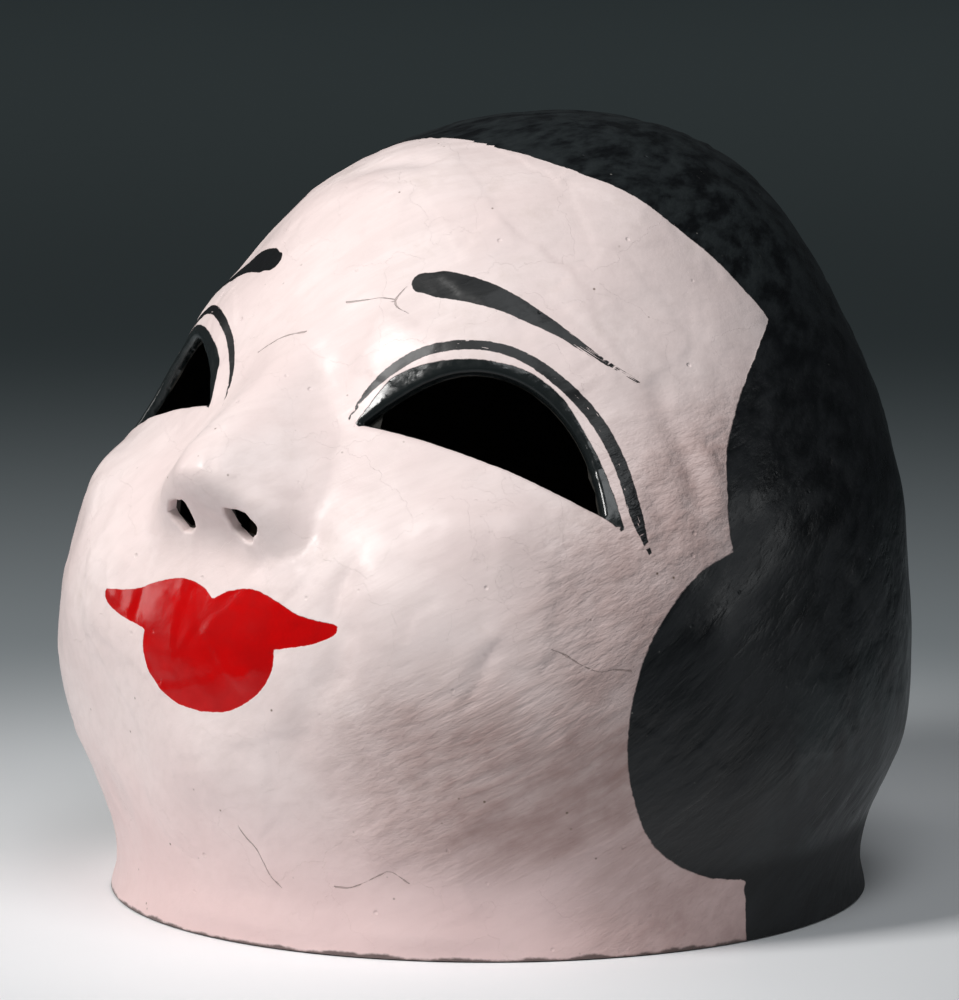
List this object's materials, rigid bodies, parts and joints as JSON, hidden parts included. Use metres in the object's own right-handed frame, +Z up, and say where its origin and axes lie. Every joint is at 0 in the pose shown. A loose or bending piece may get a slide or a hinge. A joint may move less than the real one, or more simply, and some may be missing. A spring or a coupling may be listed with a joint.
{
  "type": "full-head festival mask",
  "caption": "Painted papier-mache mask worn over the whole head, with crescent eye openings, a short round neck collar and a head ring inside.",
  "frame": {"origin": "on the table, under the middle of the whole mask", "axes": "+Z up, -Y the way the mask looks, +X the mask's own left side; the lower rim rests on z = 0"},
  "size_m": [0.3322, 0.3339, 0.3075],
  "materials": {
    "painted_paper": "gloss enamel over papier-mache",
    "black_painted_paper": "satin black paint over papier-mache",
    "strip_paper": "raw pasted paper",
    "split_bamboo": "split and dried",
    "pad_cloth": "woven cotton",
    "cotton_tape": "unbleached woven tape"
  },
  "bodies": {
    "root": {"face_shell": "painted_paper", "back_shell": "black_painted_paper", "neck_collar_front": "painted_paper", "neck_collar_back": "black_painted_paper", "seam_strip": "strip_paper", "collar_strip": "strip_paper", "rim_hoop": "split_bamboo", "head_ring": "split_bamboo", "ring_pad": "pad_cloth", "crown_pad": "pad_cloth", "crown_strap_cross": "cotton_tape", "crown_strap_long": "cotton_tape", "hanger_front_left": "cotton_tape", "hanger_front_right": "cotton_tape", "hanger_back_left": "cotton_tape", "hanger_back_right": "cotton_tape", "anchor_patch_front_left": "strip_paper", "anchor_patch_front_right": "strip_paper", "anchor_patch_back_left": "strip_paper", "anchor_patch_back_right": "strip_paper"}
  },
  "joints": []
}
